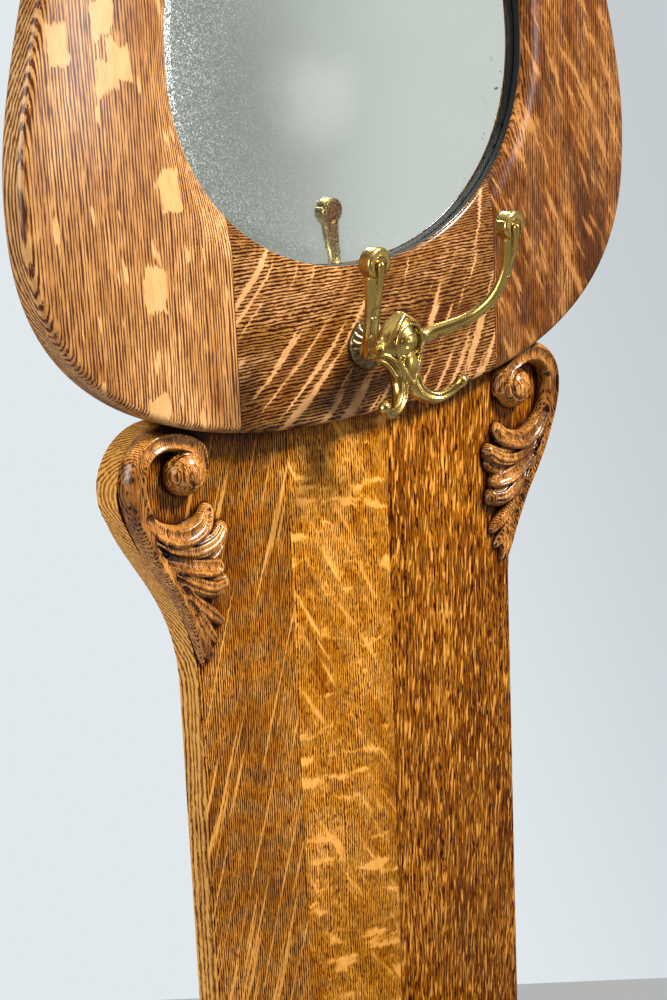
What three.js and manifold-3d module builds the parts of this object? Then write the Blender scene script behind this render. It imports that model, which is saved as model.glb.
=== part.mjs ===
// Golden oak hall tree: a tall back of three glued boards, a balloon-shaped mirror frame,
// three four-prong coat hooks, carved scrolls, and a bench seat with a lift lid.
// Millimetres. +Z is up, the front faces -Y, and the origin is on the floor at the centre
// of the footprint.

import * as THREE from 'three';
import { mergeVertices } from 'three/addons/utils/BufferGeometryUtils.js';
import Module from 'manifold-3d';

const wasm = await Module();
wasm.setup();

// ---------------------------------------------------------------- driving dimensions

const BACK_FRONT = 170;                       // Y of the front face of the back boards
const BOARD = 22.5;                           // thickness of the back boards
const BACK_REAR = BACK_FRONT + BOARD;
const CLEAT = 17.5;                           // thickness of the cleats behind the boards
const FRAME = 22;                             // thickness of the mirror frame
const FRAME_FRONT = BACK_FRONT - FRAME;
const DATUM = 1525;                           // height of the widest level of the mirror frame
const GAP = 0.15;                             // half of a glue line

const WAIST = 165.5;                          // half width of the back below the scrolls
const BOARD_LIMIT = 225;                      // half width of the three long boards
const BASE_HALF = 300;                        // half width of the back at the bench
const BACK_FOOT = 80;                         // underside of the back above the floor
const COVE_TOP = 780;                         // where the back starts to flare
const COVE_FOOT = 670;                        // where the flare ends at full width

const SEAT_UNDER = 416;
const SEAT = 22;                              // thickness of the seat boards
const SEAT_TOP = SEAT_UNDER + SEAT;
const LID_HALF = 253.5;
const LID_FRONT = -207.5;
const LID_REAR = 106;
const RAIL_FRONT = 109.4;                     // front face of the fixed rail behind the lid
const HINGE_Y = 107.7;
const HINGE_Z = SEAT_TOP + 3.2;
const HINGE_X = 165;                          // centre of each hinge from the middle

const ARM_UNDER = 622;
const ARM = 26;
const HOOK_X = -8.5;                          // the lower hook sits a little left of centre
const HOOK_Z = DATUM - 130;
const HOOK_BEND = 0.07;                       // the lower hook is a little bent
const SIDE_HOOK_X = 175;
const SIDE_HOOK_Z = DATUM + 235;

// ---------------------------------------------------------------- solid helpers

function solidOf(geometry) {
  const g = geometry.clone();
  for (const name of Object.keys(g.attributes)) {
    if (name !== 'position') {
      g.deleteAttribute(name);
    }
  }
  const merged = mergeVertices(g, 1e-4);
  const mesh = new wasm.Mesh({
    numProp: 3,
    vertProperties: new Float32Array(merged.attributes.position.array),
    triVerts: new Uint32Array(merged.index.array),
  });
  return new wasm.Manifold(mesh);
}

function geometryOf(solid) {
  const mesh = solid.getMesh();
  const g = new THREE.BufferGeometry();
  g.setAttribute('position', new THREE.BufferAttribute(new Float32Array(mesh.vertProperties), 3));
  g.setIndex(new THREE.BufferAttribute(new Uint32Array(mesh.triVerts), 1));
  return g;
}

const join = (list) => list.slice(1).reduce((a, b) => a.add(b), list[0]);
const cut = (solid, list) => list.reduce((a, b) => a.subtract(b), solid);

function box(x0, x1, y0, y1, z0, z1) {
  const g = new THREE.BoxGeometry(x1 - x0, y1 - y0, z1 - z0);
  g.translate((x0 + x1) / 2, (y0 + y1) / 2, (z0 + z1) / 2);
  return g;
}

function shapeOf(points) {
  return new THREE.Shape(points.map(([a, b]) => new THREE.Vector2(a, b)));
}

function extrude(points, thickness, round = 0, steps = 2) {
  return new THREE.ExtrudeGeometry(shapeOf(points), {
    depth: thickness - 2 * round,
    bevelEnabled: round > 0,
    bevelThickness: round,
    bevelSize: round,
    bevelOffset: -round,
    bevelSegments: steps,
  }).translate(0, 0, round);
}

// A board standing across the object: outline in X and Z, thickness along Y.
function uprightBoard(points, yFront, thickness, round = 0) {
  const g = extrude(points, thickness, round);
  g.rotateX(Math.PI / 2);
  return g.translate(0, yFront + thickness, 0);
}

// A board lying flat: outline in X and Y, thickness along Z.
function flatBoard(points, zUnder, thickness, round = 0) {
  return extrude(points, thickness, round).translate(0, 0, zUnder);
}

// A board standing front to back: outline in Y and Z, thickness along X.
function sideBoard(points, xInner, thickness, round = 0) {
  const g = extrude(points, thickness, round);
  g.applyMatrix4(new THREE.Matrix4().makeBasis(
    new THREE.Vector3(0, 1, 0), new THREE.Vector3(0, 0, 1), new THREE.Vector3(1, 0, 0)));
  return g.translate(xInner, 0, 0);
}

// Swaps left and right and keeps the faces pointing outward.
function mirrored(geometry) {
  const g = geometry.index ? geometry.toNonIndexed() : geometry.clone();
  g.scale(-1, 1, 1);
  const p = g.attributes.position;
  for (let i = 0; i < p.count; i += 3) {
    const b = new THREE.Vector3().fromBufferAttribute(p, i + 1);
    const c = new THREE.Vector3().fromBufferAttribute(p, i + 2);
    p.setXYZ(i + 1, c.x, c.y, c.z);
    p.setXYZ(i + 2, b.x, b.y, b.z);
  }
  return g;
}

function rectangle(a0, a1, b0, b1) {
  return [[a0, b0], [a1, b0], [a1, b1], [a0, b1]];
}

function arc(cx, cy, rx, ry, from, to, steps) {
  const points = [];
  for (let i = 0; i <= steps; i += 1) {
    const a = THREE.MathUtils.degToRad(from + (to - from) * i / steps);
    points.push([cx + rx * Math.cos(a), cy + ry * Math.sin(a)]);
  }
  return points;
}

function bezier(p0, p1, p2, p3, steps) {
  const curve = new THREE.CubicBezierCurve(
    new THREE.Vector2(...p0), new THREE.Vector2(...p1),
    new THREE.Vector2(...p2), new THREE.Vector2(...p3));
  return curve.getPoints(steps).map((p) => [p.x, p.y]);
}

// A body of revolution along Y, for screws and rosettes. Profile is radius and Y.
function turnedAlongY(profile, x, z, sides = 20) {
  const g = new THREE.LatheGeometry(profile.map(([r, y]) => new THREE.Vector2(r, y)), sides);
  return g.translate(x, 0, z);
}

// A body of revolution along Z, for the turned posts.
function turnedAlongZ(profile, x, y, sides = 20) {
  const g = new THREE.LatheGeometry(profile.map(([r, z]) => new THREE.Vector2(r, z)), sides);
  g.rotateX(Math.PI / 2);
  return g.translate(x, y, 0);
}

// A closed skin over rings of equal length. With loop = true the last ring meets the first,
// as in a picture frame; otherwise both ends are closed by a fan.
function skin(rings, loop) {
  const n = rings[0].length;
  const m = rings.length;
  const positions = rings.flat(2);
  const index = [];
  const quads = loop ? m : m - 1;
  for (let i = 0; i < quads; i += 1) {
    const a = i * n;
    const b = ((i + 1) % m) * n;
    for (let j = 0; j < n; j += 1) {
      const k = (j + 1) % n;
      index.push(a + j, b + j, b + k, a + j, b + k, a + k);
    }
  }
  if (!loop) {
    for (const [ring, flip] of [[0, true], [m - 1, false]]) {
      const middle = positions.length / 3;
      const centre = [0, 0, 0];
      rings[ring].forEach((p) => p.forEach((v, c) => { centre[c] += v / n; }));
      positions.push(...centre);
      for (let j = 0; j < n; j += 1) {
        const a = ring * n + j;
        const b = ring * n + (j + 1) % n;
        index.push(...(flip ? [middle, a, b] : [middle, b, a]));
      }
    }
  }
  const g = new THREE.BufferGeometry();
  g.setAttribute('position', new THREE.Float32BufferAttribute(positions, 3));
  g.setIndex(index);
  return outward(g);
}

function outward(geometry) {
  const p = geometry.attributes.position;
  const index = geometry.index.array;
  let volume = 0;
  const v = [0, 1, 2].map(() => new THREE.Vector3());
  for (let i = 0; i < index.length; i += 3) {
    v.forEach((w, k) => w.fromBufferAttribute(p, index[i + k]));
    volume += v[0].dot(v[1].clone().cross(v[2]));
  }
  if (volume < 0) {
    for (let i = 0; i < index.length; i += 3) {
      [index[i + 1], index[i + 2]] = [index[i + 2], index[i + 1]];
    }
  }
  return geometry;
}

// A rounded bar along a smooth curve. radii is a list along the bar; depth is how thick the
// section is across the curve's plane, as a share of the radius; across is that direction.
function bar(points, radii, { depth = 1, across = [0, -1, 0], steps = 10, sides = 10 } = {}) {
  const curve = new THREE.CatmullRomCurve3(points.map((p) => new THREE.Vector3(...p)));
  const up = new THREE.Vector3(...across);
  const rings = [];
  for (let i = 0; i <= steps; i += 1) {
    const s = i / steps;
    const centre = curve.getPoint(s);
    const tangent = curve.getTangent(s);
    const side = new THREE.Vector3().crossVectors(up, tangent).normalize();
    const top = new THREE.Vector3().crossVectors(tangent, side).normalize();
    const slot = s * (radii.length - 1);
    const low = Math.min(Math.floor(slot), radii.length - 2);
    const radius = radii[low] + (radii[low + 1] - radii[low]) * (slot - low);
    const ring = [];
    for (let j = 0; j < sides; j += 1) {
      const a = 2 * Math.PI * (j + 0.5) / sides;
      const p = centre.clone()
        .addScaledVector(side, radius * Math.cos(a))
        .addScaledVector(top, radius * depth * Math.sin(a));
      ring.push([p.x, p.y, p.z]);
    }
    rings.push(ring);
  }
  return skin(rings, false);
}

function egg(x, y, z, rx, ry, rz, wide = 12, high = 8) {
  return new THREE.SphereGeometry(1, wide, high).scale(rx, ry, rz).translate(x, y, z);
}

// ---------------------------------------------------------------- outlines

// Right half of the balloon shape, from the bottom to the top: a squarish lower half, then
// sides that close in and a round head. drop and rise are the heights below and above the
// widest level.
function balloon({ half, level, drop, rise, corner, close = 0.36, ease = 80, steps = 18 }) {
  const points = [];
  for (let i = 0; i <= steps; i += 1) {
    const a = (Math.PI / 2) * (i / steps);
    points.push([
      half * Math.sin(a) ** (2 / corner),
      level - drop * Math.cos(a) ** (2 / corner),
    ]);
  }
  for (let i = 1; i <= steps; i += 1) {
    const u = rise * Math.sin((Math.PI / 2) * (i / steps));
    const narrowed = half - close * (Math.hypot(u, ease) - ease);
    const head = Math.max(0, 1 - (u / rise) ** 4) ** 0.45;
    points.push([narrowed * head, level + u]);
  }
  return points;
}

function closedOutline(halfPoints) {
  const right = halfPoints;
  const left = halfPoints.slice(1, -1).map(([x, z]) => [-x, z]).reverse();
  return [...right, ...left];
}

// Moves a closed outline outward by d along its own normals.
function spread(outline, d) {
  const n = outline.length;
  return outline.map(([x, z], i) => {
    const [ax, az] = outline[(i + n - 1) % n];
    const [bx, bz] = outline[(i + 1) % n];
    const length = Math.hypot(bx - ax, bz - az);
    return [x + d * (bz - az) / length, z - d * (bx - ax) / length];
  });
}

const outerEdge = closedOutline(balloon({
  half: 294, level: DATUM - 5, drop: 178, rise: 490, corner: 2.55,
}));
const openingEdge = closedOutline(balloon({
  half: 173, level: DATUM + 77, drop: 150, rise: 310, corner: 2.1,
}));

// Right half of the back, from the bottom up: straight base, hollow flare, long waist,
// swollen shoulder, then the part hidden behind the mirror frame.
const backHalf = [
  [BASE_HALF, BACK_FOOT],
  ...arc(BASE_HALF, COVE_TOP, WAIST - BASE_HALF + 2, COVE_FOOT - COVE_TOP, 90, 0, 12),
  ...bezier([WAIST, 1173], [168, 1235], [205, 1263], [219, 1300.5], 12),
  ...arc(180, 1322, 45, 43, -22, 90, 10),
  [180, 1395], [205, 1412], [224, 1500], [222, 1640], [200, 1770], [120, 1905], [75, 1938],
];
const backOutline = [...backHalf, ...backHalf.map(([x, z]) => [-x, z]).reverse()];

// ---------------------------------------------------------------- screws and their holes

const SCREWS = [
  [-70, DATUM - 122], [70, DATUM - 122],
  [-203, DATUM + 60], [203, DATUM + 60],
  [-62, DATUM + 392], [62, DATUM + 392],
];

function woodScrew(x, z, slack) {
  const tip = FRAME_FRONT + 8 - slack;
  const head = BACK_REAR - (slack > 0 ? -1 : 0.3);
  return turnedAlongY([
    [0, tip], [2 + slack, tip + 2], [2 + slack, BACK_REAR - 4],
    [4.6 + slack, BACK_REAR - 0.3], [4.6 + slack, head + 0.01], [0, head + 0.01],
  ], x, z, 10);
}

function hookHole(x, z) {
  return solidOf(turnedAlongY([
    [0, FRAME_FRONT - 20], [2.8, FRAME_FRONT - 20], [2.8, FRAME_FRONT + 17.5],
    [0, FRAME_FRONT + 17.5],
  ], x, z, 14));
}

const HOOKS = {
  lower: [HOOK_X, HOOK_Z],
  left: [-SIDE_HOOK_X, SIDE_HOOK_Z],
  right: [SIDE_HOOK_X, SIDE_HOOK_Z],
};

const screwHoles = SCREWS.map(([x, z]) => solidOf(woodScrew(x, z, 0.25)));
const hookHoles = Object.values(HOOKS).map(([x, z]) => hookHole(x, z));

// ---------------------------------------------------------------- the back

const wholeBack = cut(solidOf(uprightBoard(backOutline, BACK_FRONT, BOARD)), screwHoles);

// The seams lean a little, as the boards were ripped.
const seamLeft = (z) => -73 + (z - 1100) * 0.007;
const seamRight = (z) => 27.5 + (z - 1100) * 0.011;

function between(leftOf, rightOf) {
  const low = 0;
  const high = 2100;
  return solidOf(uprightBoard([
    [leftOf(low) + GAP, low], [rightOf(low) - GAP, low],
    [rightOf(high) - GAP, high], [leftOf(high) + GAP, high],
  ], BACK_FRONT - 5, BOARD + 10));
}

const fixed = (x) => () => x;
const backBoards = {
  back_board_left: between(fixed(-BOARD_LIMIT), seamLeft),
  back_board_centre: between(seamLeft, seamRight),
  back_board_right: between(seamRight, fixed(BOARD_LIMIT)),
  back_wing_left: between(fixed(-BASE_HALF - 10), fixed(-BOARD_LIMIT)),
  back_wing_right: between(fixed(BOARD_LIMIT), fixed(BASE_HALF + 10)),
};

function backCleat(z, half) {
  return uprightBoard(rectangle(-half, half, z - 32, z + 32), BACK_REAR, CLEAT, 2);
}

// ---------------------------------------------------------------- the mirror and its frame

// Section of the frame: distance from one of its edges, and depth behind the front face.
// A broad shallow round runs down to the opening, over the rebate that holds the mirror.
const frameSection = [
  ['in', 9, 22], ['in', 9, 7], ['in', 0, 7], ['in', 0, 5.8], ['in', 1.2, 4.7],
  ['in', 6, 2.9], ['in', 12, 1.3], ['in', 18, 0.35], ['in', 24, 0],
  ['out', 6.5, 0], ['out', 2, 1.7], ['out', 0, 6], ['out', 0, 20.5], ['out', 1.5, 22],
];

function ringOf(section, yFront) {
  const curves = section.map(([edge, d, depth]) => {
    const base = edge === 'in' ? spread(openingEdge, d) : spread(outerEdge, -d);
    return base.map(([x, z]) => [x, yFront + depth, z]);
  });
  const rings = curves[0].map((_, i) => curves.map((c) => c[i]));
  return skin(rings, true);
}

const wholeFrame = cut(solidOf(ringOf(frameSection, FRAME_FRONT)), [...screwHoles, ...hookHoles]);
const BOTTOM_SEAM = 131;
const TOP_SEAM = 96;
const MID = DATUM + 150;

function framePiece(x0, x1, z0, z1) {
  return solidOf(box(x0 + GAP, x1 - GAP, FRAME_FRONT - 5, BACK_FRONT + 5, z0, z1));
}

const bottomRail = wholeFrame.intersect(framePiece(-BOTTOM_SEAM, BOTTOM_SEAM, 1300, MID));
const topRail = wholeFrame.intersect(framePiece(-TOP_SEAM, TOP_SEAM, MID, 2100));
const stileRegion = (x0, x1, xb, xt) => framePiece(x0, x1, 1300, 2100)
  .subtract(solidOf(box(...xb, 100, 200, 1290, MID)))
  .subtract(solidOf(box(...xt, 100, 200, MID, 2110)));
const rightStile = wholeFrame.intersect(stileRegion(
  0, 320, [-10, BOTTOM_SEAM + GAP], [-10, TOP_SEAM + GAP]));
const leftStile = wholeFrame.intersect(stileRegion(
  -320, 0, [-BOTTOM_SEAM - GAP, 10], [-TOP_SEAM - GAP, 10]));

// Black strip that packs the mirror off the thin lip of the rebate.
const liner = ringOf([
  ['in', 8.7, 7.1], ['in', 0.5, 7.1], ['in', 0.5, 13.2], ['in', 8.7, 13.6],
], FRAME_FRONT);

// Plate with a wide ground bevel round its front face.
function mirrorGlass() {
  const rings = [
    spread(openingEdge, 8).map(([x, z]) => [x, FRAME_FRONT + 17, z]),
    spread(openingEdge, 8).map(([x, z]) => [x, FRAME_FRONT + 14.6, z]),
    spread(openingEdge, -11).map(([x, z]) => [x, FRAME_FRONT + 13.3, z]),
  ];
  return skin(rings, false);
}

const mirrorBacking = uprightBoard(spread(openingEdge, 8), FRAME_FRONT + 17.2, 4.6);

// ---------------------------------------------------------------- carved scrolls

// Right-hand scroll on the shoulder, as runs of [x, height above the datum, radius].
const SCROLL = [
  { depth: 1.45, run: [[176, -208, 5], [162, -205, 7], [155, -192, 8], [161, -179, 8.5],
    [177, -171, 9], [195, -171, 9.5], [209, -180, 10], [214, -197, 10], [209, -218, 10],
    [199, -240, 10], [187, -263, 9.5], [175, -286, 8.5], [166, -310, 6], [163, -334, 2.5]] },
  { depth: 1.4, run: [[203, -228, 7], [188, -236, 8], [171, -237, 8], [157, -229, 7]] },
  { depth: 1.3, run: [[196, -242, 7], [179, -250, 8.5], [160, -252, 10], [143, -247, 10]] },
  { depth: 1.3, run: [[187, -259, 7], [172, -266, 9], [158, -272, 10], [148, -277, 9.5]] },
  { depth: 1.2, run: [[178, -280, 6], [165, -292, 7], [154, -303, 6], [146, -309, 4.5]] },
  { depth: 1.2, run: [[170, -298, 5], [162, -315, 5], [156, -330, 3]] },
];

function carving(place, grow, sides = 8) {
  const strokes = SCROLL.map(({ depth, run }) => {
    const points = run.map(([x, h]) => place(x, h));
    const radii = run.map((p) => p[2] * grow);
    return solidOf(bar(points, radii, { depth, steps: run.length + 1, sides }));
  });
  const [ex, ey, ez] = place(173, -194);
  strokes.push(solidOf(egg(ex, ey, ez, 12 * grow, 16 * grow, 12 * grow)));
  return join(strokes);
}

function inFrontOf(y) {
  return solidOf(box(-400, 400, y - 60, y, 900, 2200));
}

const scrollRight = carving((x, h) => [x, BACK_FRONT, DATUM + h], 1)
  .intersect(inFrontOf(BACK_FRONT))
  .subtract(solidOf(ringOf([
    ['out', 60, -40], ['out', 60, 40], ['out', -0.4, 40], ['out', -0.4, -40],
  ], FRAME_FRONT)));

// Crest: the same scroll at a smaller size, turned to run down each side from a bead.
const CREST_GROW = 0.62;
function crestPlace(side) {
  const turn = THREE.MathUtils.degToRad(57);
  return (x, h) => {
    const a = (x - 174) * CREST_GROW;
    const b = (h + 199) * CREST_GROW;
    return [
      side * (30 + a * Math.cos(turn) - b * Math.sin(turn)),
      FRAME_FRONT,
      DATUM + 446 + a * Math.sin(turn) + b * Math.cos(turn),
    ];
  };
}
const crest = join([
  carving(crestPlace(1), CREST_GROW, 6),
  carving(crestPlace(-1), CREST_GROW, 6),
  solidOf(egg(0, FRAME_FRONT, DATUM + 447, 22, 9, 13)),
]).intersect(inFrontOf(FRAME_FRONT));

// ---------------------------------------------------------------- hooks

// One brass casting: a boss, a leafy body, two long upper arms with round knobs and two
// short lower prongs. x is across, out is away from the frame, h is above the centre.
// bend is how far the casting has been bent out of level by use, as a slope.
function hookCasting(cx, cz, bend) {
  const at = (x, out, h) => [cx + x, FRAME_FRONT - out, cz + h + bend * x];
  const pieces = [
    turnedAlongY([[0, -40], [7, -40], [6, -22], [8.5, -12], [8.5, -9.6], [0, -9.6]]
      .map(([r, y]) => [r, FRAME_FRONT + y]), cx, cz, 10),
    egg(...at(0, 37, 3), 20, 12, 20, 12, 8),
    egg(...at(0, 38, -16), 10, 8.5, 16, 10, 7),
  ];
  for (const side of [-1, 1]) {
    pieces.push(bar([
      at(side * 10, 29, 0), at(side * 30, 35, 5), at(side * 50, 52, 12.5),
      at(side * 62, 67, 27), at(side * 67, 76, 47), at(side * 67.6, 80, 70),
    ], [7, 5.5, 5, 4.6, 4.6, 6], { across: [0, -1, 0.35], steps: 9, sides: 7 }));
    pieces.push(turnedAlongY([
      [0, -85.5], [9, -85.5], [10.4, -84], [10.4, -80], [8, -76], [0, -74],
    ].map(([r, y]) => [r, FRAME_FRONT + y]), cx + side * 67.6, cz + 78 + bend * side * 67.6, 14));
    pieces.push(bar([
      at(side * 4, 36, -12), at(side * 9, 41, -31), at(side * 20, 46.5, -38.5),
      at(side * 31, 51, -37), at(side * 38, 55, -31.5),
    ], [5.5, 5, 4.4, 3.8, 3.4], { across: [0, -1, 0.35], steps: 6, sides: 7 }));
    pieces.push(egg(...at(side * 39.5, 56, -30), 5.2, 5.2, 5.2, 8, 5));
  }
  return join(pieces.map(solidOf));
}

function rosette(cx, cz) {
  const profile = [[2.8, 0], [18.5, 0], [18.5, -2.2], [16, -5.8], [10.5, -8.6], [2.8, -9.4],
    [2.8, 0]];
  return turnedAlongY(profile.reverse().map(([r, y]) => [r, FRAME_FRONT + y]), cx, cz, 24);
}

function hookScrew(cx, cz) {
  return turnedAlongY([
    [0, FRAME_FRONT - 9.4], [2.5, FRAME_FRONT - 9.4], [2.5, FRAME_FRONT + 13],
    [0, FRAME_FRONT + 17],
  ], cx, cz, 12);
}

// ---------------------------------------------------------------- the bench

const benchEndOutline = [
  [-128, 0], ...bezier([-112, 0], [-98, 84], [-74, 92], [-17, 92], 6),
  ...bezier([-17, 92], [40, 92], [64, 84], [78, 0], 6).slice(1),
  [BACK_FRONT - 0.2, 0], [BACK_FRONT - 0.2, SEAT_UNDER - 0.1], [-187, SEAT_UNDER - 0.1],
  ...bezier([-187, 190], [-187, 120], [-160, 110], [-176, 60], 6),
  [-192, 30], [-192, 0],
];

const apron = [
  [-267.7, 150], ...bezier([-225, 150], [-170, 150], [-190, 205], [-90, 196], 6),
  ...bezier([-90, 196], [-40, 192], [-30, 176], [0, 176], 6).slice(1),
  ...bezier([0, 176], [30, 176], [40, 192], [90, 196], 6).slice(1),
  ...bezier([90, 196], [190, 205], [170, 150], [225, 150], 6).slice(1),
  [267.7, 150], [267.7, SEAT_UNDER - 0.1], [-267.7, SEAT_UNDER - 0.1],
];

const armOutline = [
  [259, BACK_FRONT - 0.2], [259, -178], ...arc(289, -180, 30, 30, 180, 360, 12),
  ...bezier([319, -120], [319, -20], [300, 40], [302, BACK_FRONT - 0.2], 8),
];

const postProfile = [
  [0, SEAT_TOP + 0.1], [15, SEAT_TOP + 0.1], [15, SEAT_TOP + 20], [10, SEAT_TOP + 26],
  [14.5, SEAT_TOP + 34], [10, SEAT_TOP + 42], [12.5, SEAT_TOP + 60], [16.5, SEAT_TOP + 88],
  [14.5, SEAT_TOP + 112], [9.5, SEAT_TOP + 136], [9, SEAT_TOP + 142], [13.5, SEAT_TOP + 149],
  [9.5, SEAT_TOP + 156], [13.5, SEAT_TOP + 166], [13.5, ARM_UNDER - 0.1], [0, ARM_UNDER - 0.1],
];

function seatBoard(x0, x1, y0, y1, round = 5) {
  return flatBoard(rectangle(x0, x1, y0, y1), SEAT_UNDER, SEAT, round);
}

// ---------------------------------------------------------------- hinges of the lid

const LEAF = 1.4;
const HINGE_LONG = 64;
const KNUCKLE = 2.8;

function tubeAlongX(x0, x1, radius, bore) {
  const outer = new THREE.CylinderGeometry(radius, radius, x1 - x0, 16);
  outer.rotateZ(Math.PI / 2).translate((x0 + x1) / 2, HINGE_Y, HINGE_Z);
  const inner = new THREE.CylinderGeometry(bore, bore, x1 - x0 + 4, 16);
  inner.rotateZ(Math.PI / 2).translate((x0 + x1) / 2, HINGE_Y, HINGE_Z);
  return [solidOf(outer), solidOf(inner)];
}

function hingeLeaf(cx, side, spans) {
  const near = HINGE_Y + side * 0.2;
  const far = HINGE_Y + side * (0.2 + LEAF);
  const [y0, y1] = [Math.min(near, far), Math.max(near, far)];
  const x0 = cx - HINGE_LONG / 2;
  let solid = solidOf(box(x0, x0 + HINGE_LONG, y0, y1, SEAT_TOP - 19, SEAT_TOP - 0.2));
  const bores = [];
  for (const [a, b] of spans) {
    const [tube, bore] = tubeAlongX(x0 + a, x0 + b, KNUCKLE, 1.6);
    solid = solid.add(tube).add(solidOf(box(x0 + a, x0 + b, y0, y1, SEAT_TOP - 1, HINGE_Z)));
    bores.push(bore);
  }
  return cut(solid, bores);
}

function hingePin(cx) {
  const g = new THREE.CylinderGeometry(1.3, 1.3, HINGE_LONG - 0.4, 14);
  return g.rotateZ(Math.PI / 2).translate(cx, HINGE_Y, HINGE_Z);
}

// ---------------------------------------------------------------- materials

const paint = (color, roughness, metalness = 0) => new THREE.MeshStandardMaterial({
  color, roughness, metalness,
});
const OAK = {
  back: paint(0xb8763a, 0.42), frame: paint(0xb26c33, 0.38), carved: paint(0x8a4f22, 0.4),
  bench: paint(0xad6b33, 0.45), inner: paint(0xc29a66, 0.7),
};
const BRASS = paint(0xc9a24a, 0.28, 1);
const ROSETTE = paint(0x6d5f48, 0.4, 1);
const STEEL = paint(0x8c8c88, 0.45, 1);
const MIRROR = paint(0xc9d2d0, 0.05, 1);
const BLACK = paint(0x14110f, 0.7);

// ---------------------------------------------------------------- assembly

const group = new THREE.Group();
group.name = 'hall_tree';

function put(name, body, material) {
  const geometry = body.isBufferGeometry ? body : geometryOf(body);
  const mesh = new THREE.Mesh(geometry, material);
  mesh.name = name;
  group.add(mesh);
}

function putPair(name, geometry, material) {
  put(`${name}_left`, mirrored(geometry), material);
  put(`${name}_right`, geometry, material);
}

for (const [name, region] of Object.entries(backBoards)) {
  put(name, wholeBack.intersect(region), OAK.back);
}
put('back_cleat_upper', backCleat(1250, 150), OAK.inner);
put('back_cleat_lower', backCleat(520, 270), OAK.inner);

put('frame_stile_left', leftStile, OAK.frame);
put('frame_stile_right', rightStile, OAK.frame);
put('frame_bottom_rail', bottomRail, OAK.frame);
put('frame_top_rail', topRail, OAK.frame);
put('mirror_liner', liner, BLACK);
put('mirror_glass', mirrorGlass(), MIRROR);
put('mirror_backing', mirrorBacking, OAK.inner);

putPair('shoulder_scroll', geometryOf(scrollRight), OAK.carved);
put('crest_scroll', crest, OAK.carved);

for (const [name, [x, z]] of Object.entries(HOOKS)) {
  put(`hook_${name}_casting`, hookCasting(x, z, name === 'lower' ? HOOK_BEND : 0), BRASS);
  put(`hook_${name}_rosette`, rosette(x, z), ROSETTE);
  put(`hook_${name}_screw`, hookScrew(x, z), STEEL);
}
SCREWS.forEach(([x, z], i) => put(`frame_screw_${i + 1}`, woodScrew(x, z, 0), STEEL));

putPair('bench_end', sideBoard(benchEndOutline, 268, 22, 2), OAK.bench);
put('bench_front', uprightBoard(apron, -170, 20, 1.5), OAK.bench);
put('bench_bottom', box(-267.7, 267.7, -149.8, BACK_FRONT - 0.2, 170.1, 182), OAK.inner);
putPair('bottom_cleat', box(249.7, 267.8, -145, 150, 152, 170), OAK.inner);
put('hinge_rail_cleat', box(-250, 250, 145, BACK_FRONT - 0.1, 391, SEAT_UNDER - 0.1), OAK.inner);
putPair('seat_side', seatBoard(LID_HALF + 1, 300, -202, BACK_FRONT - 0.2), OAK.bench);
put('seat_back_rail', seatBoard(-LID_HALF, LID_HALF, RAIL_FRONT, BACK_FRONT - 0.2, 2), OAK.bench);
putPair('arm_post', turnedAlongZ(postProfile, 279, -165, 16), OAK.bench);
putPair('arm', flatBoard(armOutline, ARM_UNDER, ARM, 6), OAK.bench);

put('lid_front_board', seatBoard(-LID_HALF, LID_HALF, LID_FRONT, -50 - GAP, 5), OAK.bench);
put('lid_rear_board', seatBoard(-LID_HALF, LID_HALF, -50 + GAP, LID_REAR, 2), OAK.bench);
putPair('lid_batten', box(150, 195, -144, 72, 399.9, SEAT_UNDER - 0.1), OAK.inner);

for (const [name, x] of [['left', -HINGE_X], ['right', HINGE_X]]) {
  put(`hinge_${name}_fixed_leaf`, hingeLeaf(x, 1, [[0, 20], [44, 64]]), BRASS);
  put(`hinge_${name}_moving_leaf`, hingeLeaf(x, -1, [[20.3, 43.7]]), BRASS);
  put(`hinge_${name}_pin`, hingePin(x), BRASS);
}

export default group;
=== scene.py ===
import math

import bpy
import numpy as np
from mathutils import Matrix, Vector


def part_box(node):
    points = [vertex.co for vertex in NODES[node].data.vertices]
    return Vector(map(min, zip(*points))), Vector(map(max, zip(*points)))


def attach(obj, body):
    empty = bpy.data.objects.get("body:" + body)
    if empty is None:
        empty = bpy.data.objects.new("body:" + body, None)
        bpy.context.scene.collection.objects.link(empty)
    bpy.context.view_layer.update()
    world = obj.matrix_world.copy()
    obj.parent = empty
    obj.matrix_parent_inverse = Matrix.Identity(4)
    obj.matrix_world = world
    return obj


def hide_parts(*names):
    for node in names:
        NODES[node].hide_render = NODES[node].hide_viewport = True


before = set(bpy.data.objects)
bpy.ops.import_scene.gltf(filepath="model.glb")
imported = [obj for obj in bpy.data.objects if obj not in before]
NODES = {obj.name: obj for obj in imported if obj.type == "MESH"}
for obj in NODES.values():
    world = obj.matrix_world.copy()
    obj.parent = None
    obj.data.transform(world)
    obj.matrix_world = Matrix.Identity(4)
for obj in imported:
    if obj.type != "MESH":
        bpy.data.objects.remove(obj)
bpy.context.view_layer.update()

MM = 0.001

# The two balloon outlines, in millimetres: their half width, the level of their widest place
# above the datum, and how far they drop below and rise above that level.
OUTER_HALF, OUTER_LEVEL, OUTER_DROP, OUTER_RISE = 294, -5, 178, 490
OPENING_HALF, OPENING_LEVEL, OPENING_DROP, OPENING_RISE = 173, 77, 150, 310

# Places taken from the CAD model, in millimetres.
FRAME_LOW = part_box("frame_bottom_rail")[0] / MM
BACK_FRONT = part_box("back_board_centre")[0].y / MM
FRAME_FRONT = FRAME_LOW.y
DATUM = FRAME_LOW.z + (OUTER_DROP - OUTER_LEVEL)
BOTTOM_SEAM = -FRAME_LOW.x
TOP_SEAM = -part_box("frame_top_rail")[0].x / MM

OUTLINE_POINTS = 1400
# The grid that carved and cast shapes are made on: its step, and a distance far from any shape.
FIELD_STEP, FAR = 0.5, 50.0


# ---------------------------------------------------------------- meshes

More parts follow.
